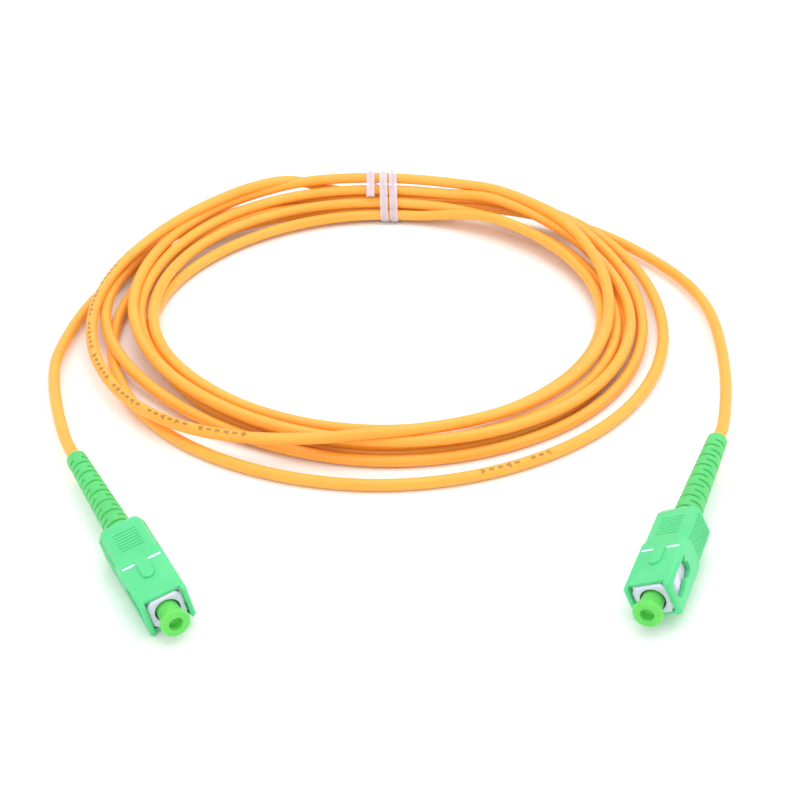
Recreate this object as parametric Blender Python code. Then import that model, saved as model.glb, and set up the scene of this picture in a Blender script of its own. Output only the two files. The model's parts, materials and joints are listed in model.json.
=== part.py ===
"""Duplex-ended fibre optic patch cord: a simplex cord with an angled push-pull connector on each
end, coiled in five turns and held by a plastic twist tie. Dimensions are in millimetres until the
meshes are written, which is in metres."""

import math

import bmesh
import bpy
import numpy as np
from mathutils import Euler, Matrix, Vector

MM = 0.001

# Row frame: the plan origin is the middle of the plugs and the tie.
SHIFT_X = 0.48
SHIFT_Y = 30.25

# Cord
CORD_R = 1.25
COIL_X = -4.0
COIL_Y = -3.0

# Push-pull outer housing (local X runs from the rear of the housing to the nose)
HOUSING_W = 9.0
HOUSING_H = 7.4
HOUSING_SIDE_LEN = 25.2
HOUSING_TOP_LEN = 24.1
HOUSING_WALL_Y = 0.95
HOUSING_WALL_Z = 0.55
HOUSING_REAR_WALL = 1.5
HOUSING_REAR_HOLE_R = 2.95
GRIP_LEN = 10.6
GRIP_SIDE_Y = 4.65
RIB_PITCH = 0.95
RIB_WIDTH = 0.38
RIB_DEPTH = 0.3
KEY_W = 2.35
KEY_FRONT = 18.6
KEY_RISE = 0.45

# Plug frame
FRAME_W = 6.8
FRAME_H = 6.1
FRAME_REAR = 5.0
FRAME_FRONT = 24.6
FRAME_BORE_R = 2.45
FRAME_WEB_R = 1.45

# Ferrule
FERRULE_R = 1.25
FERRULE_REAR = 14.6
FERRULE_FRONT = 25.1
FERRULE_ANGLE = math.radians(8.0)

# Boot
BOOT_LEN = 30.7
BOOT_BASE_R = 2.7
BOOT_TIP_R = 2.05
BOOT_BORE_R = 1.45
SLOT_PITCH = 2.4
SLOT_W = 0.5

# Placement of each plug: position of the rear of its housing, heading, tilt and roll
PLUGS = {
    "left": ((-52.1, -90.3, 4.73), -64.5, 0.3, 13.7),
    "right": ((53.8, -87.3, 5.81), -109.9, 1.5, 25.5),
}

# Twist tie
TIE_X = -3.1
RIBBON_W = 2.05
RIBBON_T = 0.6
WIRE_R = 0.17
WIRE_BORE_R = 0.2

COLOURS = {
    "housing": (0.11, 0.77, 0.31, 1.0),
    "boot": (0.12, 0.68, 0.18, 1.0),
    "cap": (0.16, 0.75, 0.13, 1.0),
    "frame": (0.80, 0.80, 0.86, 1.0),
    "ceramic": (0.86, 0.86, 0.84, 1.0),
    "metal": (0.62, 0.60, 0.56, 1.0),
    "nickel": (0.70, 0.68, 0.62, 1.0),
    "glass": (0.85, 0.90, 0.92, 1.0),
    "buffer": (0.88, 0.88, 0.85, 1.0),
    "aramid": (0.80, 0.68, 0.18, 1.0),
    "cord": (0.95, 0.50, 0.07, 1.0),
    "tie": (0.84, 0.80, 0.86, 1.0),
}


def material(name, key, rough=0.4, metal=0.0):
    """A plain Principled material of its own for each piece."""
    mat = bpy.data.materials.new(name)
    mat.use_nodes = True
    shader = mat.node_tree.nodes["Principled BSDF"]
    shader.inputs["Base Color"].default_value = COLOURS[key]
    shader.inputs["Roughness"].default_value = rough
    shader.inputs["Metallic"].default_value = metal
    return mat


def clear_scene():
    for obj in list(bpy.data.objects):
        bpy.data.objects.remove(obj, do_unlink=True)


def add_object(name, verts, faces, matrix=None):
    """A mesh object from millimetre vertices; matrix places its local frame in metres."""
    mesh = bpy.data.meshes.new(name)
    mesh.from_pydata([tuple(c * MM for c in v) for v in verts], [], [tuple(f) for f in faces])
    bm = bmesh.new()
    bm.from_mesh(mesh)
    bmesh.ops.recalc_face_normals(bm, faces=bm.faces)
    bm.to_mesh(mesh)
    bm.free()
    mesh.update()
    obj = bpy.data.objects.new(name, mesh)
    bpy.context.collection.objects.link(obj)
    if matrix is not None:
        obj.matrix_world = matrix
    return obj


def finish(obj, key, rough=0.4, metal=0.0, smooth=35.0):
    """Gives the piece its material and its smooth shading."""
    obj.data.materials.clear()
    obj.data.materials.append(material(obj.name, key, rough, metal))
    if obj.type == "MESH":
        obj.data.polygons.foreach_set("use_smooth", [True] * len(obj.data.polygons))
        obj.data.set_sharp_from_angle(angle=math.radians(smooth))
    return obj


def revolve_data(profile, segs):
    """A closed (x, r) profile turned about X; profile points on the axis become poles."""
    verts = []
    rows = []
    for x, r in profile:
        if r == 0.0:
            rows.append([len(verts)] * segs)
            verts.append((x, 0.0, 0.0))
            continue
        rows.append(list(range(len(verts), len(verts) + segs)))
        for i in range(segs):
            a = 2.0 * math.pi * i / segs
            verts.append((x, r * math.cos(a), r * math.sin(a)))
    faces = []
    count = len(rows)
    for k in range(count):
        a = rows[k]
        b = rows[(k + 1) % count]
        if a[0] == a[1] and b[0] == b[1]:
            continue
        for i in range(segs):
            j = (i + 1) % segs
            face = []
            for v in (a[i], a[j], b[j], b[i]):
                if v not in face:
                    face.append(v)
            faces.append(face)
    return verts, faces


def loft_data(sections):
    """Closed skin through equal-length loops of points, capped at both ends."""
    n = len(sections[0])
    verts = [p for s in sections for p in s]
    faces = []
    for k in range(len(sections) - 1):
        for i in range(n):
            j = (i + 1) % n
            faces.append((k * n + i, k * n + j, (k + 1) * n + j, (k + 1) * n + i))
    faces.append(tuple(range(n)))
    last = (len(sections) - 1) * n
    faces.append(tuple(range(last, last + n)))
    return verts, faces


def box_data(x0, x1, y0, y1, z0, z1):
    loop = [(y0, z0), (y1, z0), (y1, z1), (y0, z1)]
    return loft_data([[(x, y, z) for y, z in loop] for x in (x0, x1)])


def prism_y_data(outline, y0, y1):
    """A prism of an (x, z) outline between two y planes."""
    return loft_data([[(x, y, z) for x, z in outline] for y in (y0, y1)])


def sector_data(x0, x1, r0, r1, mid, half, steps):
    """A bent block round X: between two radii, over an angle either side of mid."""
    sections = []
    for k in range(steps + 1):
        a = mid - half + 2.0 * half * k / steps
        c = math.cos(a)
        s = math.sin(a)
        sections.append([(x, r * c, r * s) for x, r in ((x0, r0), (x1, r0), (x1, r1), (x0, r1))])
    return loft_data(sections)


def joined(parts):
    verts = []
    faces = []
    for v, f in parts:
        base = len(verts)
        verts.extend(v)
        faces.extend([tuple(i + base for i in face) for face in f])
    return verts, faces


def boolean(obj, data, operation):
    """Cuts or joins a solid and keeps only the result."""
    tool = add_object("cutter", data[0], data[1], obj.matrix_world.copy())
    tool.hide_render = True
    tool.display_type = "WIRE"
    mod = obj.modifiers.new("cut", "BOOLEAN")
    mod.operation = operation
    mod.solver = "EXACT"
    mod.object = tool
    bpy.context.view_layer.update()
    graph = bpy.context.evaluated_depsgraph_get()
    result = bpy.data.meshes.new_from_object(obj.evaluated_get(graph))
    obj.modifiers.clear()
    old = obj.data
    obj.data = result
    bpy.data.meshes.remove(old)
    obj.data.name = obj.name
    bpy.data.objects.remove(tool, do_unlink=True)


def plug_matrix(side):
    place, heading, tilt, roll = PLUGS[side]
    turn = Euler((math.radians(roll), math.radians(tilt), math.radians(heading)), "XYZ").to_matrix()
    spot = Vector((place[0] + SHIFT_X, place[1] + SHIFT_Y, place[2])) * MM
    return Matrix.Translation(spot) @ turn.to_4x4()


def octagon(x, y, z, cy, cz):
    """Half widths y and z with corner cuts cy by cz."""
    return [
        (x, -y, -z + cz),
        (x, -y + cy, -z),
        (x, y - cy, -z),
        (x, y, -z + cz),
        (x, y, z - cz),
        (x, y - cy, z),
        (x, -y + cy, z),
        (x, -y, z - cz),
    ]


def outer_housing(side):
    """Push-pull housing: a sleeve with a ribbed grip, a raised key and a window in each side."""
    hy = HOUSING_W / 2.0
    hz = HOUSING_H / 2.0
    skin = [
        octagon(0.0, GRIP_SIDE_Y - 1.0, hz - 0.35, 0.5, 1.0),
        octagon(1.1, GRIP_SIDE_Y, hz, 0.9, 1.5),
        octagon(GRIP_LEN, GRIP_SIDE_Y, hz, 0.9, 1.5),
        octagon(GRIP_LEN + 0.8, hy, hz, 0.3, 0.3),
        octagon(HOUSING_SIDE_LEN - 0.4, hy, hz, 0.3, 0.3),
        octagon(HOUSING_SIDE_LEN, hy - 0.3, hz - 0.3, 0.3, 0.3),
    ]
    verts, faces = loft_data(skin)
    obj = add_object("outer_housing_" + side, verts, faces, plug_matrix(side))
    key = []
    r = KEY_W / 2.0
    for z, grow in ((hz - 0.3, 0.0), (hz + KEY_RISE - 0.12, 0.0), (hz + KEY_RISE, -0.12)):
        loop = [(13.0, -r - grow, z), (13.0, r + grow, z)]
        for k in range(9):
            a = math.pi / 2.0 - math.pi * k / 8.0
            loop.append((KEY_FRONT - r + (r + grow) * math.cos(a), (r + grow) * math.sin(a), z))
        key.append(loop)
    boolean(obj, loft_data(key), "UNION")
    iy = hy - HOUSING_WALL_Y
    iz = hz - HOUSING_WALL_Z
    boolean(obj, box_data(HOUSING_REAR_WALL, 27.0, -iy, iy, -iz, iz), "DIFFERENCE")
    window = [
        (14.4, 2.2),
        (15.5, 1.35),
        (14.4, 0.6),
        (14.5, -0.9),
        (16.4, -1.5),
        (18.0, -0.85),
        (19.6, -1.6),
        (22.8, -1.6),
        (23.7, -0.7),
        (23.7, 1.5),
        (22.9, 2.3),
    ]
    nose = box_data(HOUSING_TOP_LEN, 27.0, -iy, iy, -6.0, 6.0)
    boolean(obj, joined([prism_y_data(window, -7.0, 7.0), nose]), "DIFFERENCE")
    cuts = []
    for k in range(9):
        x = 2.0 + k * RIB_PITCH
        y = GRIP_SIDE_Y - RIB_DEPTH
        cuts.append(box_data(x, x + RIB_WIDTH, y, 6.0, -2.9, 2.9))
        cuts.append(box_data(x, x + RIB_WIDTH, -6.0, -y, -2.9, 2.9))
    for k in range(7):
        x = 3.4 + k * 0.85
        cuts.append(box_data(x, x + 0.3, -2.3, 2.3, hz - 0.15, 6.0))
        cuts.append(box_data(x, x + 0.3, -2.3, 2.3, -6.0, 0.15 - hz))
    hole = [(-1.0, 0.0), (-1.0, HOUSING_REAR_HOLE_R), (2.2, HOUSING_REAR_HOLE_R), (2.2, 0.0)]
    cuts.append(revolve_data(hole, 24))
    boolean(obj, joined(cuts), "DIFFERENCE")
    return finish(obj, "housing", 0.38)


def plug_frame(side):
    """Inner frame: bored from both ends, with a latch ramp standing in each housing window."""
    fy = FRAME_W / 2.0
    fz = FRAME_H / 2.0
    skin = [
        octagon(FRAME_REAR, fy, fz, 1.0, 1.0),
        octagon(FRAME_FRONT - 0.25, fy, fz, 1.0, 1.0),
        octagon(FRAME_FRONT, fy - 0.25, fz - 0.25, 0.9, 0.9),
    ]
    verts, faces = loft_data(skin)
    obj = add_object("plug_frame_" + side, verts, faces, plug_matrix(side))
    ramps = []
    for s in (-1.0, 1.0):
        outline = [(17.4, 3.0), (17.4, 3.45), (19.6, 3.95), (21.6, 3.95), (22.0, 3.5), (22.0, 3.0)]
        sections = [[(x, s * y, z) for x, y in outline] for z in (-0.55, 1.5)]
        ramps.append(loft_data(sections))
    boolean(obj, joined(ramps), "UNION")
    bore = [
        (4.0, 0.0),
        (4.0, FRAME_BORE_R),
        (16.6, FRAME_BORE_R),
        (16.6, FRAME_WEB_R),
        (18.0, FRAME_WEB_R),
        (18.0, FRAME_BORE_R),
        (26.0, FRAME_BORE_R),
        (26.0, 0.0),
    ]
    boolean(obj, revolve_data(bore, 24), "DIFFERENCE")
    return finish(obj, "frame", 0.35)


def ferrule(side):
    """Ceramic ferrule with its end polished at eight degrees."""
    tip = FERRULE_FRONT
    profile = [
        (FERRULE_REAR, 0.07),
        (FERRULE_REAR, FERRULE_R),
        (tip - 0.7, FERRULE_R),
        (tip, 0.85),
        (tip, 0.07),
    ]
    verts, faces = revolve_data(profile, 24)
    slope = math.tan(FERRULE_ANGLE)
    verts = [(x - slope * z if x == tip else x, y, z) for x, y, z in verts]
    obj = add_object("ferrule_" + side, verts, faces, plug_matrix(side))
    return finish(obj, "ceramic", 0.2)


def turned(name, side, profile, key, rough=0.4, metal=0.0, segs=24):
    verts, faces = revolve_data(profile, segs)
    obj = add_object(name + "_" + side, verts, faces, plug_matrix(side))
    return finish(obj, key, rough, metal)


def ferrule_flange(side):
    profile = [
        (13.0, 0.55),
        (13.0, 1.5),
        (14.9, 1.5),
        (14.9, 2.2),
        (16.55, 2.2),
        (16.55, 1.27),
        (14.55, 1.27),
        (14.55, 0.55),
    ]
    return turned("ferrule_flange", side, profile, "metal", 0.3, 1.0)


def optical_fibre(side):
    profile = [(-3.6, 0.0), (-3.6, 0.0625), (25.0, 0.0625), (25.0, 0.0)]
    return turned("optical_fibre", side, profile, "glass", 0.1, 0.0, 8)


def tight_buffer(side):
    profile = [(-3.6, 0.08), (-3.6, 0.45), (14.4, 0.45), (14.4, 0.08)]
    return turned("tight_buffer", side, profile, "buffer", 0.45, 0.0, 16)


def sweep_data(path, frames, outline):
    """Carries an outline in each point's own pair of axes along an open path."""
    sections = []
    for p, (u, v) in zip(path, frames):
        sections.append([tuple(p[i] + a * u[i] + b * v[i] for i in range(3)) for a, b in outline])
    return loft_data(sections)


def spring(side):
    """Compression spring behind the ferrule flange, with a closed coil at each end."""
    x0 = 9.42
    x1 = 14.63
    wire = 0.25
    r = 2.15 - wire
    turns = 6.5
    steps = int(turns * 12)
    outline = []
    for k in range(6):
        a = 2.0 * math.pi * (k + 0.5) / 6.0
        outline.append((wire * math.cos(a), wire * math.sin(a)))
    path = []
    frames = []
    for k in range(steps + 1):
        t = k / steps
        ends = 0.56 / (x1 - x0)
        u = min(max((t - 1.0 / turns) / (1.0 - 2.0 / turns), 0.0), 1.0)
        lead = min(t * turns, 1.0) * ends
        tail = max(t * turns - (turns - 1.0), 0.0) * ends
        x = x0 + (x1 - x0) * (lead + tail + u * (1.0 - 2.0 * ends))
        a = 2.0 * math.pi * turns * t
        c = math.cos(a)
        s = math.sin(a)
        path.append((x, r * c, r * s))
        frames.append(((1.0, 0.0, 0.0), (0.0, c, s)))
    verts, faces = sweep_data(path, frames, outline)
    obj = add_object("spring_" + side, verts, faces, plug_matrix(side))
    return finish(obj, "nickel", 0.25, 1.0, 60.0)


def stop_ring(side):
    """Stop ring pressed into the rear of the frame, with the crimp post behind it."""
    profile = [
        (-5.0, 0.65),
        (-5.0, 1.7),
        (1.65, 1.7),
        (1.65, 3.1),
        (4.9, 3.1),
        (4.9, 2.35),
        (9.1, 2.35),
        (9.1, 0.65),
    ]
    return turned("stop_ring", side, profile, "metal", 0.3, 1.0)


def aramid_sleeve(side):
    profile = [(-4.8, 1.73), (-4.8, 1.83), (1.4, 1.83), (1.4, 1.73)]
    return turned("aramid_sleeve", side, profile, "aramid", 0.8)


def crimp_ring(side):
    profile = [
        (-9.0, 1.29),
        (-9.0, 1.6),
        (-5.5, 1.6),
        (-4.9, 2.15),
        (1.4, 2.15),
        (1.4, 1.87),
        (-5.1, 1.87),
        (-5.3, 1.29),
    ]
    return turned("crimp_ring", side, profile, "nickel", 0.3, 1.0)


def boot_radius(x):
    if x > -2.5:
        return BOOT_BASE_R
    t = (-2.5 - x) / (BOOT_LEN - 2.5)
    return BOOT_BASE_R + (BOOT_TIP_R - BOOT_BASE_R) * t


def boot(side):
    """Strain-relief boot: tapering, with staggered slots that let it bend."""
    tip = -BOOT_LEN
    profile = [
        (1.55, 2.2),
        (1.55, BOOT_BASE_R - 0.15),
        (1.4, BOOT_BASE_R),
        (-2.5, BOOT_BASE_R),
        (tip + 0.3, boot_radius(tip + 0.3)),
        (tip, BOOT_TIP_R - 0.3),
        (tip, BOOT_BORE_R),
        (-9.6, BOOT_BORE_R),
        (-10.0, 2.2),
    ]
    verts, faces = revolve_data(profile, 18)
    obj = add_object("boot_" + side, verts, faces, plug_matrix(side))
    cuts = []
    for k in range(22):
        x = -1.7 - k * SLOT_PITCH / 2.0
        depth, steps = (2.42, 4) if x > -10.9 else (1.0, 3)
        if x - SLOT_W < tip + 2.6:
            break
        base = math.pi / 2.0 if k % 2 == 0 else 0.0
        for half_turn in (0.0, math.pi):
            mid = base + half_turn + math.radians(3.0)
            cuts.append(sector_data(x - SLOT_W, x, depth, 3.4, mid, math.radians(66.0), steps))
    boolean(obj, joined(cuts), "DIFFERENCE")
    return finish(obj, "boot", 0.45)


def dust_cap(side):
    """Dust cap over the ferrule: a tube closed by a wider dished end."""
    profile = [
        (26.0, 0.0),
        (26.0, 1.28),
        (19.4, 1.28),
        (19.4, 2.0),
        (19.5, 2.1),
        (27.8, 2.1),
        (27.8, 2.6),
        (28.0, 2.8),
        (28.75, 2.8),
        (29.0, 2.55),
        (29.0, 1.35),
        (27.6, 1.2),
        (27.6, 0.0),
    ]
    return turned("dust_cap", side, profile, "cap", 0.3)


def smoothed(points, steps):
    """Catmull-Rom curve through the points, evenly divided between each pair."""
    pts = [np.array(p) for p in points]
    pts = [2.0 * pts[0] - pts[1]] + pts + [2.0 * pts[-1] - pts[-2]]
    out = []
    for k in range(1, len(pts) - 2):
        a, b, c, d = pts[k - 1 : k + 3]
        for i in range(steps):
            t = i / steps
            t2 = t * t
            t3 = t2 * t
            p = 2.0 * b + (c - a) * t + (2.0 * a - 5.0 * b + 4.0 * c - d) * t2
            out.append(0.5 * (p + (3.0 * b - a - 3.0 * c + d) * t3))
    out.append(pts[-2])
    return out


def plug_point(side, x):
    """A point on the plug's own axis, in row millimetres."""
    return tuple(plug_matrix(side) @ Vector((x * MM, 0.0, 0.0)) / MM)


def cable_tail(side, free):
    """The uncoiled stretch: straight through the boot, then along the floor to the coil."""
    points = [plug_point(side, x) for x in (-BOOT_LEN, -BOOT_LEN - 1.2)]
    for x, y, z in free:
        points.append((x + SHIFT_X, y + SHIFT_Y, z))
    line = [np.array(plug_point(side, x)) for x in (-5.6, -9.3, -18.0, -26.0)]
    line += smoothed(points, 4)
    curve = bpy.data.curves.new("cable_tail_" + side, "CURVE")
    curve.dimensions = "3D"
    curve.bevel_depth = CORD_R * MM
    curve.bevel_resolution = 2
    curve.use_fill_caps = True
    spline = curve.splines.new("POLY")
    spline.points.add(len(line) - 1)
    for spot, p in zip(spline.points, line):
        spot.co = (p[0] * MM, p[1] * MM, p[2] * MM, 1.0)
    obj = bpy.data.objects.new("cable_tail_" + side, curve)
    bpy.context.collection.objects.link(obj)
    curve.materials.append(material(obj.name, "cord", 0.45))
    return obj


# Envelope of the coil: angle clockwise from the tie, inner reach, outer reach, height
COIL_SIDES = [
    (34.0, 50.5, 65.0, 7.6),
    (62.0, 49.5, 65.5, 6.4),
    (90.0, 48.8, 65.6, 5.4),
    (135.0, 44.5, 65.6, 5.4),
    (180.0, 44.6, 66.8, 5.4),
    (225.0, 48.0, 66.8, 5.4),
    (270.0, 50.0, 66.3, 5.4),
    (300.0, 50.5, 66.3, 6.0),
    (326.0, 50.5, 64.5, 7.4),
]
COIL_AT_TIE = [
    (51.1, 1.3),
    (56.2, 1.3),
    (57.3, 1.8),
    (59.2, 4.2),
    (58.5, 8.6),
    (57.9, 10.1),
    (56.9, 10.6),
    (55.9, 10.1),
    (50.2, 2.8),
    (50.1, 1.65),
]


def coil_section(inner, outer, height):
    """Ten points of a flat lens-like section, from the inner foot outward."""
    mid = (inner + outer) / 2.0
    return [
        (inner + 1.0, 0.0),
        (mid, 0.0),
        (outer - 1.0, 0.0),
        (outer, 1.0),
        (outer, 2.0),
        (outer - 3.0, height - 0.7),
        (mid + 1.0, height),
        (mid - 4.0, height),
        (inner + 0.4, 2.8),
        (inner, 1.2),
    ]


def cable_coil():
    """The bound turns of cord as one solid of their outer shape."""
    stations = [(-9.0, COIL_AT_TIE), (9.0, COIL_AT_TIE)]
    for angle, inner, outer, height in COIL_SIDES:
        stations.append((angle, coil_section(inner, outer, height)))
    stations.append((351.0, COIL_AT_TIE))
    angles = [-9.0, -3.0, 3.0, 9.0, 14.0, 19.0, 24.0, 29.0]
    angles += [34.0 + 6.95 * k for k in range(42)]
    angles += [326.0, 331.0, 336.0, 341.0, 346.0]
    sections = []
    for angle in angles:
        k = 0
        while stations[k + 1][0] < angle:
            k += 1
        a0, s0 = stations[k]
        a1, s1 = stations[k + 1]
        t = (angle - a0) / (a1 - a0)
        t = t * t * (3.0 - 2.0 * t)
        c = math.sin(math.radians(angle))
        s = math.cos(math.radians(angle))
        loop = []
        for (r0, z0), (r1, z1) in zip(s0, s1):
            r = r0 + (r1 - r0) * t
            z = z0 + (z1 - z0) * t
            loop.append((COIL_X + SHIFT_X + r * c, COIL_Y + SHIFT_Y + r * s, z))
        sections.append(loop)
    n = len(sections[0])
    count = len(sections)
    verts = [p for s in sections for p in s]
    faces = []
    for k in range(count):
        m = (k + 1) % count
        for i in range(n):
            j = (i + 1) % n
            faces.append((k * n + i, k * n + j, m * n + j, m * n + i))
    obj = add_object("cable_coil", verts, faces)
    return finish(obj, "cord", 0.45, 0.0, 40.0)


def tie_loop(gap):
    """The line the ribbon follows round the bundle, in plan y and height, from the top backward."""
    corners = []
    for r, z in COIL_AT_TIE[::-1]:
        corners.append((COIL_Y + SHIFT_Y + r, z))
    cy = sum(p[0] for p in corners) / len(corners)
    cz = sum(p[1] for p in corners) / len(corners)
    reach = []
    for k in range(20):
        a = math.radians(62.0 - 18.0 * k)
        d = (math.cos(a), math.sin(a))
        best = max((y - cy) * d[0] + (z - cz) * d[1] for y, z in corners)
        reach.append((d, best + gap))
    out = []
    for k in range(20):
        (a, p), (b, q) = reach[k], reach[(k + 1) % 20]
        det = a[0] * b[1] - a[1] * b[0]
        out.append((cy + (p * b[1] - q * a[1]) / det, cz + (q * a[0] - p * b[0]) / det))
    return out


def tie_path():
    """Two wraps side by side; the first end folds down over the front beside them."""
    loop = tie_loop(0.56)
    n = len(loop)
    keys = [(-0.24, -7.3), (0.0, -7.3), (0.5, -3.6), (1.0, -4.45), (1.5, -1.25), (2.0, -2.1)]
    path = []
    for k in range(-5, 2 * n + 1):
        t = k / n
        for (t0, x0), (t1, x1) in zip(keys[:-1], keys[1:]):
            if t0 - 0.02 <= t <= t1:
                w = min(max((t - t0) / (t1 - t0), 0.0), 1.0)
                w = w * w * (3.0 - 2.0 * w)
                x = x0 + (x1 - x0) * w
                break
        y, z = loop[k % n]
        path.append(np.array((x + SHIFT_X, y, z)))
    return path


def ring_sweep(name, path, outer, inner, key, rough, metal):
    """Carries a section along the path; with an inner outline the section is hollow."""
    count = len(path)
    verts = []
    centre = sum(path) / count
    for k in range(count):
        ahead = path[min(k + 1, count - 1)] - path[max(k - 1, 0)]
        ahead /= np.linalg.norm(ahead)
        away = path[k] - centre
        away[0] = 0.0
        away -= ahead * away.dot(ahead)
        away /= np.linalg.norm(away)
        across = np.cross(ahead, away)
        for a, b in list(outer) + list(inner or []):
            verts.append(tuple(path[k] + across * a + away * b))
    n = len(outer)
    m = len(inner) if inner else 0
    row = n + m
    faces = []
    for k in range(count - 1):
        for size, start in ((n, 0), (m, n)):
            for i in range(size):
                j = (i + 1) % size
                a = k * row + start
                b = a + row
                faces.append((a + i, a + j, b + j, b + i))
    for base in (0, (count - 1) * row):
        if not inner:
            faces.append(tuple(range(base, base + n)))
            continue
        for i in range(n):
            j = (i + 1) % n
            faces.append((base + i, base + j, base + n + j, base + n + i))
    obj = add_object(name, verts, faces)
    return finish(obj, key, rough, metal, 50.0)


def twist_tie():
    w = RIBBON_W / 2.0
    t = RIBBON_T / 2.0
    outer = [(w, 0.0), (w - 0.1, t * 0.7), (0.0, t), (0.1 - w, t * 0.7)]
    outer += [(-w, 0.0), (0.1 - w, -t * 0.7), (0.0, -t), (w - 0.1, -t * 0.7)]
    inner = []
    wire = []
    for k in range(8):
        a = 2.0 * math.pi * k / 8.0
        inner.append((WIRE_BORE_R * math.cos(a), WIRE_BORE_R * math.sin(a)))
        wire.append((WIRE_R * math.cos(a), WIRE_R * math.sin(a)))
    path = tie_path()
    ring_sweep("twist_tie", path, outer, inner, "tie", 0.35, 0.0)
    ring_sweep("tie_wire", path, wire, None, "metal", 0.35, 1.0)


def main():
    clear_scene()
    for side in ("left", "right"):
        outer_housing(side)
        plug_frame(side)
        ferrule(side)
        ferrule_flange(side)
        optical_fibre(side)
        tight_buffer(side)
        spring(side)
        stop_ring(side)
        aramid_sleeve(side)
        crimp_ring(side)
        boot(side)
        dust_cap(side)
    cable_tail(
        "left",
        [
            (-68.7, -53.5, 3.7),
            (-71.4, -43.5, 2.6),
            (-73.6, -33.0, 1.7),
            (-74.7, -22.3, 1.27),
            (-74.2, -14.0, 1.27),
            (-73.0, -7.5, 1.27),
        ],
    )
    cable_tail(
        "right",
        [
            (66.9, -48.0, 4.6),
            (68.7, -37.0, 2.9),
            (69.9, -25.5, 1.7),
            (70.5, -13.8, 1.27),
            (69.8, 1.0, 1.27),
            (66.4, 13.2, 1.27),
            (58.6, 26.4, 1.27),
        ],
    )
    cable_coil()
    twist_tie()


main()
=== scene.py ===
import math
import json

import bmesh
import bpy
import numpy as np
from mathutils import Euler, Matrix, Vector

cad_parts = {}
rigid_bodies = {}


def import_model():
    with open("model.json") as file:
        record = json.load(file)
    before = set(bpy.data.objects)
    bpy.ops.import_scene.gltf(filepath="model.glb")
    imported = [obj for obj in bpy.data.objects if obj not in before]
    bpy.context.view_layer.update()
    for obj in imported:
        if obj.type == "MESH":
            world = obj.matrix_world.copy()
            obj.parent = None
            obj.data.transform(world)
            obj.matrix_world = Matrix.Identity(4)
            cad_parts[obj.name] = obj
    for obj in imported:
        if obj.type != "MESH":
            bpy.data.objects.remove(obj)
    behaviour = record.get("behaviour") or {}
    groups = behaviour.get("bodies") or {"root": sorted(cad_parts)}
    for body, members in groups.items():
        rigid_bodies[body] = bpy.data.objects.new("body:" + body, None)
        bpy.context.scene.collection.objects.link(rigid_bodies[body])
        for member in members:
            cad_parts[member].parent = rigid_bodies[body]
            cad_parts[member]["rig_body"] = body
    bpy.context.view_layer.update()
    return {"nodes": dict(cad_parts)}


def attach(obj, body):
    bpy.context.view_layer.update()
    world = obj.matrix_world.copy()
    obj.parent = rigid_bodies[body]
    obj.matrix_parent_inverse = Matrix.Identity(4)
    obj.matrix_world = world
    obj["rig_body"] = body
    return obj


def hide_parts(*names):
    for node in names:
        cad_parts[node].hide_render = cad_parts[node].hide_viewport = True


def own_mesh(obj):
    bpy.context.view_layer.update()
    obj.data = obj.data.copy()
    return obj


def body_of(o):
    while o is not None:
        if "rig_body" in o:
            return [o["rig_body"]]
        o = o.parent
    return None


bl_info = {
    "name": "Fibre patch cord",
    "version": (1, 0, 0),
    "blender": (4, 5, 0),
    "location": "View3D > Sidebar > Patch cord",
    "description": "Builds a coiled fibre optic patch cord with two push-pull plugs",
    "category": "Add Mesh",
}

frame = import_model()
NODES = frame["nodes"]
MM = 0.001

# The place of the origin, added to every plan coordinate below, in mm.
SHIFT = np.array([0.48, 30.25, 0.0])
# The cord's radius and the middle of its coil, in mm.
CORD_R = 1.25
COIL_X = -4.0
COIL_Y = -3.0

# Each plug: place, heading, tilt and roll.
PLUGS = {
    "left": ((-52.1, -90.3, 4.73), -64.5, 0.3, 13.7),
    "right": ((53.8, -87.3, 5.81), -109.9, 1.5, 25.5),
}

# Reach of each turn from the coil's middle, at every 45 degrees from the tie.
TURNS = [
    (53.6, 62.5, 63.0, 64.0, 65.3, 64.0, 59.6, 57.0),
    (56.1, 60.0, 58.5, 58.0, 57.0, 56.5, 62.3, 61.5),
    (55.5, 57.5, 54.5, 54.5, 54.0, 51.5, 52.0, 50.5),
    (51.1, 50.5, 49.5, 47.0, 47.5, 50.0, 51.5, 54.0),
    (53.0, 52.5, 52.5, 53.5, 54.0, 52.0, 54.4, 57.0),
    (55.3, 55.0, 55.5, 56.0, 55.5, 53.5, 56.0, 60.0),
    (56.9, 56.0, 51.0, 51.5, 55.5, 64.5, 64.5, 60.0),
]
# Height of each strand in the tie, from the first pass to the last.
TIE_HEIGHTS = [2.05, 2.05, 4.3, 2.05, 4.4, 6.8, 9.3, 4.3]
LAST_REACH = 58.0
# The moulded pieces that get rounded edges, each with a short name.
SLOTS = {"outer_housing": "housing", "plug_frame": "frame", "dust_cap": "cap"}
# The boot's tip, its first slot, the number of slots and the sides of its mesh, in mm.
BOOT_TIP = -28.6
BOOT_FIRST_SLOT = -1.9
BOOT_SLOTS = 14
BOOT_SIDES = 96
# The boot's bore, from the tip to the wide part round the crimp.
BOOT_BORE = [(BOOT_TIP, 1.45), (-10.6, 1.45), (-10.2, 2.2), (1.5, 2.2)]
SPRING_REAR = 9.42
SPRING_FRONT = 14.63
BOOT_PITCH = 1.85
# The angle on the cord, from its right side over the top, that the printing faces.
PRINT_SIDE = 1.95
# Which turn lies on which where they cross: the higher one is on top.
RANK = [0, 1, 0.5, 3, 2, 5, 8]
HIGHEST = 10.2
# Iterations that settle the strands on each other.
SETTLING_STEPS = 70

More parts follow.
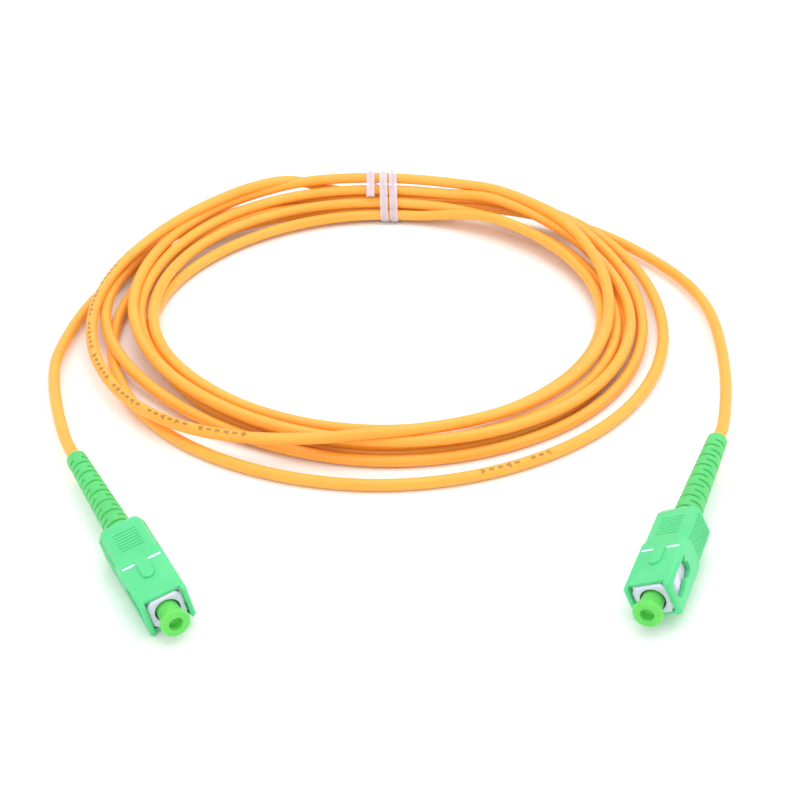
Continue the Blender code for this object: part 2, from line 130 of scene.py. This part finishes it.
TAIL_LEFT = [
    (-68.7, -53.5, 3.7),
    (-71.4, -43.5, 2.6),
    (-73.6, -33.0, 1.7),
    (-74.7, -22.3, 1.25),
    (-74.0, -13.0, 1.25),
    (-71.8, -0.4, 1.25),
    (-67.5, 12.0, 1.25),
    (-58.0, 26.5, 1.25),
    (-42.0, 40.5, 1.25),
    (-24.0, 48.5, 1.4),
]
TAIL_RIGHT = [
    (15.5, 49.5, 1.6),
    (28.5, 47.0, 1.25),
    (41.5, 42.0, 1.25),
    (50.5, 35.5, 1.25),
    (58.6, 26.4, 1.25),
    (66.4, 13.2, 1.25),
    (69.8, 1.0, 1.25),
    (70.5, -13.8, 1.25),
    (69.9, -25.5, 1.7),
    (68.7, -37.0, 2.9),
    (66.9, -48.0, 4.6),
]


def plug_matrix(side):
    """A plug's place in metres: +X runs to its nose, from the rear of the housing."""
    place, heading, tilt, roll = PLUGS[side]
    turn = Euler((math.radians(roll), math.radians(tilt), math.radians(heading)), "XYZ")
    spot = Vector(np.array(place) + SHIFT) * MM
    return Matrix.Translation(spot) @ turn.to_matrix().to_4x4()


def plug_point(side, x):
    """A point on a plug's axis, x mm from the housing's rear, without the shift."""
    spot = plug_matrix(side) @ Vector((x * MM, 0.0, 0.0))
    return np.array(spot) / MM - SHIFT


def spline(x, y, xs):
    """A natural cubic spline through (x, y), read at xs."""
    n = len(x)
    h = np.diff(x)
    a = np.zeros((n, n))
    b = np.zeros(n)
    a[0, 0] = a[-1, -1] = 1.0
    for i in range(1, n - 1):
        a[i, i - 1] = h[i - 1]
        a[i, i] = 2.0 * (h[i - 1] + h[i])
        a[i, i + 1] = h[i]
        b[i] = 6.0 * ((y[i + 1] - y[i]) / h[i] - (y[i] - y[i - 1]) / h[i - 1])
    m = np.linalg.solve(a, b)
    k = np.clip(np.searchsorted(x, xs, side="right") - 1, 0, n - 2)
    dx = xs - x[k]
    hk = h[k]
    slope = (y[k + 1] - y[k]) / hk - hk * (2.0 * m[k] + m[k + 1]) / 6.0
    return y[k] + dx * slope + dx**2 * m[k] / 2.0 + dx**3 * (m[k + 1] - m[k]) / (6.0 * hk)


def smooth_row(z, width):
    """A row of heights under a Gaussian of that width, in steps."""
    half = int(width * 3)
    kernel = np.exp(-0.5 * (np.arange(-half, half + 1) / width) ** 2)
    kernel /= kernel.sum()
    return np.convolve(np.pad(z, half, mode="edge"), kernel, "valid")


def cord_route():
    """The cord's centreline in mm, one point a millimetre, and the distance of the marks along it.

    The plan is one spline through the tails and the turns; where strands cross, the higher
    ranked one is lifted over the lower one and the lift is spread into a long hump."""
    points = []
    for x in (-5.6, -18.0, -29.0, -32.5):
        points.append(plug_point("left", x))
    points += [np.array(p) for p in TAIL_LEFT]
    first = len(points)
    for k, row in enumerate(TURNS):
        for s, r in enumerate(row):
            a = math.radians(45.0 * s)
            z = TIE_HEIGHTS[k] if s == 0 else CORD_R
            points.append(np.array((COIL_X + r * math.sin(a), COIL_Y + r * math.cos(a), z)))
    points.append(np.array((COIL_X, COIL_Y + LAST_REACH, TIE_HEIGHTS[-1])))
    last = len(points) - 1
    points += [np.array(p) for p in TAIL_RIGHT]
    for x in (-32.5, -29.0, -18.0, -5.6):
        points.append(plug_point("right", x))
    points = np.array(points)
    along = np.r_[0.0, np.cumsum(np.linalg.norm(np.diff(points[:, :2], axis=0), axis=1))]
    t = np.arange(0.0, along[-1], 1.0)
    t[-1] = along[-1]
    plan = np.stack([spline(along, points[:, i], t) for i in range(2)], 1)
    prescribed = np.interp(t, along, points[:, 2])
    n = len(t)
    passes = [along[first + 8 * k] for k in range(len(TURNS))] + [along[last]]
    # Rank of every point; both tails lie under the turns.
    rank = np.zeros(n)
    for k in range(len(TURNS)):
        span = (t >= passes[k]) & (t < passes[k + 1])
        rank[span] = RANK[k]
    rank[t < passes[0]] = -1.0
    rank[t >= passes[-1]] = -0.5
    floor = np.full(n, CORD_R)
    tails = (t < along[first - 1]) | (t > along[last + 1])
    floor[tails] = prescribed[tails]
    near_tie = np.full(n, 1e9)
    tie_z = np.zeros(n)
    for k, place in enumerate(passes):
        d = np.abs(t - place)
        hit = d < near_tie
        near_tie[hit] = d[hit]
        tie_z[hit] = TIE_HEIGHTS[k]
    hold = np.clip(1.0 - (near_tie - 6.0) / 24.0, 0.0, 1.0)
    hold = hold * hold * (3.0 - 2.0 * hold)
    reach = np.linalg.norm(plan[:, None] - plan[None], axis=2)
    touching = 2.0 * CORD_R * 0.97
    near = (reach < touching) & (np.abs(t[:, None] - t[None]) > 12.0)
    over = near & (rank[:, None] > rank[None])
    free = near_tie > 9.0
    over &= free[:, None] & free[None]
    i, j = np.nonzero(over)
    gap = np.sqrt(touching**2 - reach[i, j] ** 2)
    z = floor.copy()
    for step in range(SETTLING_STEPS):
        low = floor.copy()
        np.maximum.at(low, i, z[j] + gap * 0.92)
        z = np.maximum(smooth_row(np.maximum(z, low), 5.0), low)
        z = smooth_row(z, 2.0) if step > 60 else z
        if step > 8:
            z = z * (1.0 - hold) + tie_z * hold
        z = np.minimum(z, HIGHEST)
    z = smooth_row(z, 2.5)
    z = np.maximum(z, CORD_R)
    route = np.c_[plan, z]
    length = np.r_[0.0, np.cumsum(np.linalg.norm(np.diff(route, axis=0), axis=1))]
    marks = {
        "turns": [float(np.interp(p, t, length)) for p in passes],
        "length": float(length[-1]),
    }
    return route + SHIFT, length, marks


ROUTE, ALONG, MARKS = cord_route()


class Socket:
    """A node's output that can be added, multiplied and compared like a number."""

    def __init__(self, tree, out):
        self.tree = tree
        self.out = out

    def maths(self, operation, other=None, third=None):
        node = self.tree.nodes.new("ShaderNodeMath")
        node.operation = operation
        for slot, value in enumerate((self, other, third)):
            if isinstance(value, Socket):
                self.tree.links.new(value.out, node.inputs[slot])
            elif value is not None:
                node.inputs[slot].default_value = value
        return Socket(self.tree, node.outputs[0])

    def __add__(self, other):
        return self.maths("ADD", other)

    def __mul__(self, other):
        return self.maths("MULTIPLY", other)

    def __lt__(self, other):
        return self.maths("LESS_THAN", other)

    def __gt__(self, other):
        return self.maths("GREATER_THAN", other)


class Shader:
    """A material's node tree, with one generic method that adds a node."""

    def __init__(self, name):
        self.material = bpy.data.materials.new(name)
        self.material.use_nodes = True
        self.tree = self.material.node_tree
        self.bsdf = self.tree.nodes["Principled BSDF"]

    def node(self, kind, out=0, props=(), **inputs):
        node = self.tree.nodes.new(kind)
        for key, value in dict(props).items():
            setattr(node, key, value)
        for key, value in inputs.items():
            socket = node.inputs[key.replace("_", " ")]
            if isinstance(value, Socket):
                self.tree.links.new(value.out, socket)
            else:
                socket.default_value = value
        return Socket(self.tree, node.outputs[out])

    def feed(self, name, value):
        if isinstance(value, Socket):
            self.tree.links.new(value.out, self.bsdf.inputs[name])
        else:
            self.bsdf.inputs[name].default_value = value

    def place(self):
        return self.node("ShaderNodeTexCoord", out=3)

    def noise(self, scale, detail=3.0, vector=None):
        return self.node(
            "ShaderNodeTexNoise",
            Vector=vector or self.place(),
            Scale=scale,
            Detail=detail,
        )

    def mix(self, factor, a, b):
        node = self.tree.nodes.new("ShaderNodeMix")
        node.data_type = "RGBA"
        for slot, value in ((0, factor), (6, a), (7, b)):
            if isinstance(value, Socket):
                self.tree.links.new(value.out, node.inputs[slot])
            else:
                node.inputs[slot].default_value = value
        return Socket(self.tree, node.outputs[2])

    def bump(self, height, strength, distance):
        self.feed("Normal", self.node(
            "ShaderNodeBump", Height=height, Strength=strength, Distance=distance))


def linear(rgb, scale=1.0):
    """A display colour of 0 to 255 as the shader's linear colour."""
    out = []
    for c in rgb:
        c = c / 255.0
        out.append(scale * (c / 12.92 if c < 0.04045 else ((c + 0.055) / 1.055) ** 2.4))
    return (*out, 1.0)


def plastic(name, dark, light, rough=0.35, grain=900.0, subsurface=0.0):
    """Moulded plastic: the colour drifts a little and the surface has a fine grain."""
    s = Shader(name)
    drift = s.noise(140.0, 4.0)
    s.feed("Base Color", s.mix(drift, linear(dark), linear(light)))
    fine = s.noise(grain, 2.0)
    s.feed("Roughness", fine * 0.16 + (rough - 0.08))
    s.bump(fine, 0.12, 0.00004)
    s.feed("IOR", 1.49)
    if subsurface:
        s.bsdf.inputs["Subsurface Weight"].default_value = subsurface
        s.bsdf.inputs["Subsurface Radius"].default_value = (0.9, 1.0, 0.7)
        s.bsdf.inputs["Subsurface Scale"].default_value = 0.002
    return s.material


def metal(name, rgb, rough):
    """Bare metal with slightly uneven polish."""
    s = Shader(name)
    s.feed("Base Color", s.mix(s.noise(300.0), linear(rgb, 0.85), linear(rgb)))
    s.feed("Roughness", s.noise(700.0) * 0.15 + rough)
    s.bsdf.inputs["Metallic"].default_value = 1.0
    return s.material


def cord_jacket():
    """Orange-yellow jacket with a generic dash and dot legend in dark ink on one strand."""
    s = Shader("jacket")
    drift = s.noise(60.0, 4.0)
    base = s.mix(drift, linear((250, 164, 50)), linear((255, 186, 76)))
    along = s.node("ShaderNodeAttribute", out=2, props={"attribute_name": "along"})
    across = s.node("ShaderNodeAttribute", out=2, props={"attribute_name": "around"})
    printed = s.node("ShaderNodeAttribute", out=2, props={"attribute_name": "printed"})
    band = across.maths("ABSOLUTE") < 0.5
    fine = along.maths("MODULO", 1.9) > 0.75
    breaks = along.maths("MODULO", 13.3) > 2.2
    dot = along.maths("MODULO", 3.1) > 0.5
    side = (across.maths("ABSOLUTE") < 0.26) + (dot * -1.0 + 1.0)
    mark = band * fine * breaks * (side > 0.5) * printed
    s.feed("Base Color", s.mix(mark * 0.62, base, linear((120, 70, 30))))
    grain = s.noise(1500.0, 2.0)
    s.feed("Roughness", grain * 0.12 + 0.36)
    s.bump(grain, 0.10, 0.00003)
    s.bsdf.inputs["Subsurface Weight"].default_value = 0.12
    s.bsdf.inputs["Subsurface Radius"].default_value = (1.0, 0.5, 0.1)
    s.bsdf.inputs["Subsurface Scale"].default_value = 0.001
    return s.material


def film(name, tint, alpha, rough):
    """Thin clear plastic ribbon: mostly see-through, with cloudy streaks."""
    s = Shader(name)
    cloud = s.noise(420.0, 4.0)
    s.feed("Base Color", s.mix(cloud, linear(tint), linear((252, 250, 255))))
    s.feed("Alpha", cloud * 0.25 + (alpha - 0.12))
    s.feed("Roughness", cloud * 0.2 + rough)
    s.bsdf.inputs["Coat Weight"].default_value = 0.3
    return s.material


def grid_object(name, rows, caps=True):
    """A tube through rows of points, each row one ring; caps closes both ends with fans.

    Vertex k of ring i is rows[i, k]; quads join ring i with ring i + 1."""
    rows = np.asarray(rows, float)
    n, m = rows.shape[:2]
    verts = rows.reshape(-1, 3)
    i = np.arange(n - 1)[:, None]
    k = np.arange(m)[None]
    k1 = (k + 1) % m
    quads = np.stack(
        [i * m + k, i * m + k1, (i + 1) * m + k1, (i + 1) * m + k], -1
    ).reshape(-1, 4)
    faces = quads.tolist()
    if caps:
        verts = np.vstack([verts, rows[0].mean(0), rows[-1].mean(0)])
        a, b = n * m, n * m + 1
        for q in range(m):
            r = (q + 1) % m
            faces.append([a, r, q])
            faces.append([b, (n - 1) * m + q, (n - 1) * m + r])
    mesh = bpy.data.meshes.new(name)
    mesh.from_pydata((verts * MM).tolist(), [], faces)
    mesh.shade_smooth()
    mesh.set_sharp_from_angle(angle=math.radians(40.0))
    obj = bpy.data.objects.new(name, mesh)
    bpy.context.scene.collection.objects.link(obj)
    return obj


def outward(obj):
    """Weld the seams and point the faces out."""
    bm = bmesh.new()
    bm.from_mesh(obj.data)
    bmesh.ops.remove_doubles(bm, verts=bm.verts, dist=0.0000005)
    bmesh.ops.recalc_face_normals(bm, faces=bm.faces)
    if bm.calc_volume(signed=True) < 0.0:
        bmesh.ops.reverse_faces(bm, faces=bm.faces)
    bm.to_mesh(obj.data)
    bm.free()


def rounded_copy(source, name, width, segments, flat, corner):
    """A copy of a piece with its flat faces merged and its corners bevelled.

    Faces within flat degrees of each other are merged, and edges sharper than corner degrees
    get a bevel of that width in metres."""
    obj = bpy.data.objects.new(name, source.data.copy())
    bpy.context.scene.collection.objects.link(obj)
    bm = bmesh.new()
    bm.from_mesh(obj.data)
    bmesh.ops.remove_doubles(bm, verts=bm.verts, dist=0.000002)
    bmesh.ops.dissolve_limit(
        bm, angle_limit=math.radians(flat), verts=bm.verts, edges=bm.edges)
    bm.to_mesh(obj.data)
    bm.free()
    bevel = obj.modifiers.new("edges", "BEVEL")
    bevel.width = width
    bevel.segments = segments
    bevel.limit_method = "ANGLE"
    bevel.angle_limit = math.radians(corner)
    obj.data.shade_smooth()
    obj.data.set_sharp_from_angle(angle=math.radians(50.0))
    return obj


def frames_along(path):
    """Tangent, side and up at every point of a path, with the side kept level."""
    path = np.asarray(path, float)
    tangent = np.gradient(path, axis=0)
    tangent /= np.linalg.norm(tangent, axis=1)[:, None]
    side = np.cross(tangent, np.array([0.0, 0.0, 1.0]))
    side /= np.linalg.norm(side, axis=1)[:, None]
    up = np.cross(side, tangent)
    return tangent, side, up


def tube_rows(path, radius, sides):
    """Rings round a path: ring k is the point plus radius times cos and sin of its sides."""
    tangent, side, up = frames_along(path)
    a = np.linspace(0.0, 2.0 * math.pi, sides, endpoint=False)
    ring = side[:, None] * np.cos(a)[None, :, None] + up[:, None] * np.sin(a)[None, :, None]
    return np.asarray(path)[:, None] + ring * radius, a


def paint(obj, material):
    """Give an object its one material."""
    obj.data.materials.clear()
    obj.data.materials.append(material)


def local_rows(side, rows):
    """Rows of plug coordinates in mm, moved to the plug's place."""
    m = np.array(plug_matrix(side))
    flat = np.asarray(rows, float).reshape(-1, 3)
    out = flat @ m[:3, :3].T + m[:3, 3] / MM
    return out.reshape(np.shape(rows))


class CordLooks(bpy.types.PropertyGroup):
    sides: bpy.props.IntProperty(
        name="Sides", description="Sides of the cord's tube", default=16, min=8, max=32)
    radius: bpy.props.FloatProperty(
        name="Radius", description="Radius of the cord's jacket",
        default=CORD_R * MM, unit="LENGTH", precision=5)


class PlugLooks(bpy.types.PropertyGroup):
    edge: bpy.props.FloatProperty(
        name="Edge", description="Width of the rounded edges of the moulded pieces",
        default=0.00012, unit="LENGTH", precision=5)
    housing: bpy.props.FloatVectorProperty(
        name="Housing", description="Display colour of the housing, 0 to 255",
        default=(84.0, 213.0, 138.0), size=3)


class StageLooks(bpy.types.PropertyGroup):
    key_power: bpy.props.FloatProperty(
        name="Key power", description="Power of the big soft lamp overhead",
        default=3.4, unit="POWER")
    world_strength: bpy.props.FloatProperty(
        name="Surround", description="Brightness of the white surround", default=0.85)


class PATCH_OT_camera(bpy.types.Operator):
    """Place the camera, looking down at the coil from in front"""

    bl_idname = "patch.camera"
    bl_label = "Camera"

    def execute(self, context):
        data = bpy.data.cameras.new("camera")
        data.lens = 90.0
        data.sensor_width = 36.0
        data.clip_start = 0.01
        data.dof.use_dof = False
        camera = bpy.data.objects.new("camera", data)
        spot = np.array([0.0, -395.1, 227.0]) + SHIFT
        camera.location = Vector(spot) * MM
        camera.rotation_euler = (math.radians(90.0 - 32.2), 0.0, 0.0)
        context.scene.collection.objects.link(camera)
        context.scene.camera = camera
        return {"FINISHED"}


class PATCH_OT_cord(bpy.types.Operator):
    """Lay the cord from one boot round the coil to the other boot"""

    bl_idname = "patch.cord"
    bl_label = "Cord"

    def execute(self, context):
        looks = context.scene.patch_cord
        steps = int(MARKS["length"] / 1.15)
        s = np.linspace(0.0, MARKS["length"], steps + 1)
        path = np.stack([np.interp(s, ALONG, ROUTE[:, i]) for i in range(3)], 1)
        rows, a = tube_rows(path, looks.radius / MM, looks.sides)
        obj = grid_object("cord", rows)
        outward(obj)
        count = len(obj.data.vertices)
        n, m = rows.shape[:2]
        values = {
            "along": np.repeat(s, m),
            "around": np.tile(np.sin(a - PRINT_SIDE), n),
        }
        turn = MARKS["turns"]
        printed = (s > turn[6] + 195.0) & (s < turn[6] + 290.0)
        printed |= (s > turn[0] + 160.0) & (s < turn[0] + 176.0)
        upper = np.tile(np.cos(a - PRINT_SIDE) > 0.3, n)
        values["printed"] = np.repeat(printed, m) * upper.astype(float)
        for name, row in values.items():
            attribute = obj.data.attributes.new(name, "FLOAT", "POINT")
            full = np.zeros(count, np.float32)
            full[: len(row)] = row
            attribute.data.foreach_set("value", full)
        paint(obj, cord_jacket())
        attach(obj, "cord")
        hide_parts("cable_coil", "cable_tail_left", "cable_tail_right")
        # The cord leaves the left boot; the right plug's pieces are gathered into a list.
        moulded = [f"{stem}_right" for stem in SLOTS]
        plug = [f"{name}_moulded" for name in moulded]
        plug += [f"index_mark_right_{hand}" for hand in "ab"] + ["boot_right_slotted"]
        plug.append("spring_right_coil")
        moulded += ["boot_right", "spring_right"]
        for name in NODES:
            if name.endswith("_right") and name not in moulded + ["cable_tail_right"]:
                plug.append(name)
        return {"FINISHED"}


class PATCH_OT_plugs(bpy.types.Operator):
    """Give the plugs' pieces their finish and their rounded edges"""

    bl_idname = "patch.plugs"
    bl_label = "Plugs"

    def execute(self, context):
        looks = context.scene.patch_plug
        r, g, b = looks.housing
        green = plastic(
            "housing_green", (r - 6, g - 8, b - 8), (r + 8, g + 6, b + 8), 0.42,
            subsurface=0.15)
        boot = plastic("boot_green", (80, 198, 104), (92, 208, 120), 0.45, subsurface=0.2)
        cap = plastic("cap_green", (92, 202, 84), (106, 214, 96), 0.25, subsurface=0.5)
        inner = plastic("frame_grey", (214, 214, 238), (232, 232, 250), 0.35)
        steel = metal("steel", (200, 200, 205), 0.28)
        brass = metal("brass", (214, 190, 140), 0.3)
        ceramic = plastic("ceramic", (240, 240, 240), (252, 252, 252), 0.12)
        glass = plastic("glass_fibre", (222, 230, 236), (240, 245, 250), 0.1)
        buffer = plastic("buffer_white", (235, 235, 225), (250, 250, 245), 0.4)
        yarn = plastic("yarn_yellow", (222, 190, 84), (240, 212, 110), 0.7, grain=4000.0)
        table = {
            "outer_housing": green,
            "plug_frame": inner,
            "ferrule": ceramic,
            "ferrule_flange": steel,
            "optical_fibre": glass,
            "tight_buffer": buffer,
            "spring": steel,
            "stop_ring": inner,
            "aramid_sleeve": yarn,
            "crimp_ring": brass,
            "boot": boot,
            "dust_cap": cap,
        }
        for side in PLUGS:
            for stem, material in table.items():
                paint(NODES[f"{stem}_{side}"], material)
            for stem, finish in SLOTS.items():
                obj = self.detailed(stem, side, table[stem], looks.edge)
            self.slotted_boot(side, boot)
            self.coil_spring(side, steel)
        return {"FINISHED"}

    def coil_spring(self, side, material):
        """A round-wire spring: a helix of 6.5 turns with a close turn at each end."""
        u = np.linspace(0.0, 1.0, 260)
        turns = 2.0 * math.pi * 6.5 * u
        lift = np.clip((u - 0.07) / 0.86, 0.0, 1.0)
        x = SPRING_REAR + 0.25 + (SPRING_FRONT - SPRING_REAR - 0.5) * lift
        path = np.stack([x, 1.9 * np.cos(turns), 1.9 * np.sin(turns)], 1)
        rows, _ = tube_rows(path, 0.23, 10)
        obj = grid_object(f"spring_{side}_coil", local_rows(side, rows))
        outward(obj)
        paint(obj, material)
        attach(obj, "cord")
        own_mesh(obj)
        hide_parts(f"spring_{side}")

    def slotted_boot(self, side, material):
        """A tapering sleeve with cross slots and a bore; its last ring is its first.

        The radius is the taper less a slot depth where x falls in a slot and the angle falls
        in that slot's sector; the slots alternate between top and bottom, and the two sides."""
        edges = [1.5, 1.1, -0.9]
        for k in range(BOOT_SLOTS):
            x = BOOT_FIRST_SLOT - BOOT_PITCH * k
            edges += [x + 0.30, x + 0.22, x - 0.22, x - 0.30]
        edges += [BOOT_TIP + 0.25, BOOT_TIP + 0.08, BOOT_TIP]
        a = np.linspace(0.0, 2.0 * math.pi, BOOT_SIDES, endpoint=False)
        rows = []
        for x in edges:
            taper = np.clip((-2.5 - x) / (-2.5 - BOOT_TIP), 0.0, 1.0)
            base = 2.68 - 0.62 * taper
            if x > 1.2:
                base -= 0.12
            if x < BOOT_TIP + 0.05:
                base -= 0.15
            r = np.full(BOOT_SIDES, base)
            k = int(round((BOOT_FIRST_SLOT - x) / BOOT_PITCH))
            if 0 <= k < BOOT_SLOTS and abs(x - BOOT_FIRST_SLOT + BOOT_PITCH * k) < 0.25:
                turn = a if k % 2 else a - math.pi / 2.0
                sector = np.clip((np.abs(np.cos(turn)) - 0.42) / 0.08, 0.0, 1.0)
                r = r - (0.42 if x < -10.5 else base - 2.25) * sector
            rows.append(np.stack([np.full_like(a, x), r * np.cos(a), r * np.sin(a)], 1))
        for x, r in BOOT_BORE:
            rows.append(np.stack([np.full_like(a, x), r * np.cos(a), r * np.sin(a)], 1))
        rows.append(rows[0])
        obj = grid_object(f"boot_{side}_slotted", local_rows(side, rows), caps=False)
        outward(obj)
        paint(obj, material)
        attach(obj, "cord")
        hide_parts(f"boot_{side}")

    def detailed(self, stem, side, material, edge):
        """A copy of a moulded piece with its faces merged and its edges rounded."""
        source = NODES[f"{stem}_{side}"]
        obj = rounded_copy(source, f"{stem}_{side}_moulded", edge, 3, 2.0, 38.0)
        paint(obj, material)
        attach(obj, body_of(source)[0])
        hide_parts(source.name)
        return obj


class PATCH_OT_marks(bpy.types.Operator):
    """Lay the two pale index marks beside each housing's key"""

    bl_idname = "patch.marks"
    bl_label = "Index marks"

    def execute(self, context):
        pale = plastic("index_blue", (206, 226, 246), (222, 238, 252), 0.4)
        for side in PLUGS:
            for hand in (-1.0, 1.0):
                self.mark(side, hand, pale)
        return {"FINISHED"}

    def mark(self, side, hand, material):
        """A thin raised pad: x and y follow a rounded oblong, z steps up with round shoulders."""
        a = np.linspace(0.0, 2.0 * math.pi, 40, endpoint=False)
        c, s = np.cos(a), np.sin(a)
        shape_x = np.sign(c) * np.abs(c) ** 0.35
        shape_y = np.sign(s) * np.abs(s) ** 0.35
        rows = []
        for grow, z in ((1.0, 3.60), (1.0, 3.74), (0.95, 3.77), (0.8, 3.78), (0.3, 3.785)):
            x = 13.55 + 0.30 * grow * shape_x
            y = hand * 2.5 + 1.35 * grow * shape_y
            rows.append(np.stack([x, y, np.full(40, z)], 1))
        obj = grid_object(
            f"index_mark_{side}_{'a' if hand < 0 else 'b'}", local_rows(side, rows))
        outward(obj)
        paint(obj, material)
        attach(obj, f"grip_{side}")


class PATCH_OT_tie(bpy.types.Operator):
    """Wrap the clear ribbon tie round the strands"""

    bl_idname = "patch.tie"
    bl_label = "Tie"

    def execute(self, context):
        clear = film("ribbon_clear", (226, 216, 238), 0.46, 0.22)
        wire = metal("tie_wire_grey", (150, 146, 150), 0.4)
        paint(NODES["tie_wire"], wire)
        obj = rounded_copy(NODES["twist_tie"], "ribbon_tie", 0.00012, 2, 1.0, 50.0)
        paint(obj, clear)
        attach(obj, "cord")
        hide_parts("twist_tie")
        return {"FINISHED"}


class PATCH_OT_stage(bpy.types.Operator):
    """Lay the pale floor and hang the soft lights"""

    bl_idname = "patch.stage"
    bl_label = "Stage"

    def execute(self, context):
        looks = context.scene.patch_stage
        a = np.linspace(0.0, 2.0 * math.pi, 96, endpoint=False)
        rows = []
        for radius in (0.001, 300.0, 1500.0, 4000.0):
            rows.append(np.stack(
                [radius * np.cos(a), radius * np.sin(a), np.full(96, -0.02)], 1))
        floor = grid_object("floor", rows[::-1], caps=False)
        s = Shader("floor_white")
        s.feed("Base Color", s.mix(
            s.noise(3.0), linear((250, 250, 250)), linear((253, 253, 253))))
        s.feed("Roughness", s.noise(40.0) * 0.1 + 0.75)
        s.bsdf.inputs["Specular IOR Level"].default_value = 0.2
        paint(floor, s.material)
        if floor.data.polygons[0].normal.z < 0.0:
            floor.data.flip_normals()
        self.lamp("overhead", (0.05, 0.15, 0.75), (0.9, 0.9), looks.key_power)
        self.lamp("front", (-0.35, -0.7, 0.55), (0.6, 0.6), looks.key_power * 0.45)
        self.lamp("right", (0.75, 0.0, 0.45), (0.5, 0.5), looks.key_power * 0.25)
        world = bpy.data.worlds.new("surround")
        world.use_nodes = True
        ground = world.node_tree.nodes["Background"]
        ground.inputs[0].default_value = (1.0, 1.0, 1.0, 1.0)
        ground.inputs[1].default_value = looks.world_strength
        context.scene.world = world
        context.scene.view_settings.view_transform = "Standard"
        return {"FINISHED"}

    def lamp(self, name, place, size, power):
        data = bpy.data.lights.new(name, "AREA")
        data.shape = "RECTANGLE"
        data.size = size[0]
        data.size_y = size[1]
        data.energy = power
        lamp = bpy.data.objects.new(name, data)
        lamp.location = place
        aim = Vector((0.0, 0.03, 0.0)) - Vector(place)
        lamp.rotation_euler = aim.to_track_quat("-Z", "Y").to_euler()
        bpy.context.scene.collection.objects.link(lamp)


class PATCH_PT_panel(bpy.types.Panel):
    """Shows the patch cord's settings and a button for each building step"""

    bl_idname = "PATCH_PT_panel"
    bl_label = "Patch cord"
    bl_space_type = "VIEW_3D"
    bl_region_type = "UI"
    bl_category = "Patch cord"

    def draw(self, context):
        layout = self.layout
        for group in (
            context.scene.patch_cord, context.scene.patch_plug, context.scene.patch_stage
        ):
            for key in group.__annotations__:
                layout.prop(group, key)
        for step in STEPS:
            layout.operator(step.bl_idname)


STEPS = (
    PATCH_OT_camera,
    PATCH_OT_plugs,
    PATCH_OT_marks,
    PATCH_OT_cord,
    PATCH_OT_tie,
    PATCH_OT_stage,
)
CLASSES = (CordLooks, PlugLooks, StageLooks, *STEPS, PATCH_PT_panel)


def register():
    for kind in CLASSES:
        bpy.utils.register_class(kind)
    scene = bpy.types.Scene
    scene.patch_cord = bpy.props.PointerProperty(type=CordLooks)
    scene.patch_plug = bpy.props.PointerProperty(type=PlugLooks)
    scene.patch_stage = bpy.props.PointerProperty(type=StageLooks)


def unregister():
    del bpy.types.Scene.patch_stage
    del bpy.types.Scene.patch_plug
    del bpy.types.Scene.patch_cord
    for kind in reversed(CLASSES):
        bpy.utils.unregister_class(kind)


def main():
    register()
    bpy.ops.patch.camera()
    bpy.ops.patch.plugs()
    bpy.ops.patch.marks()
    bpy.ops.patch.cord()
    bpy.ops.patch.tie()
    bpy.ops.patch.stage()
    print("cord length", round(MARKS["length"], 1), "mm")


if __name__ == "__main__":
    main()
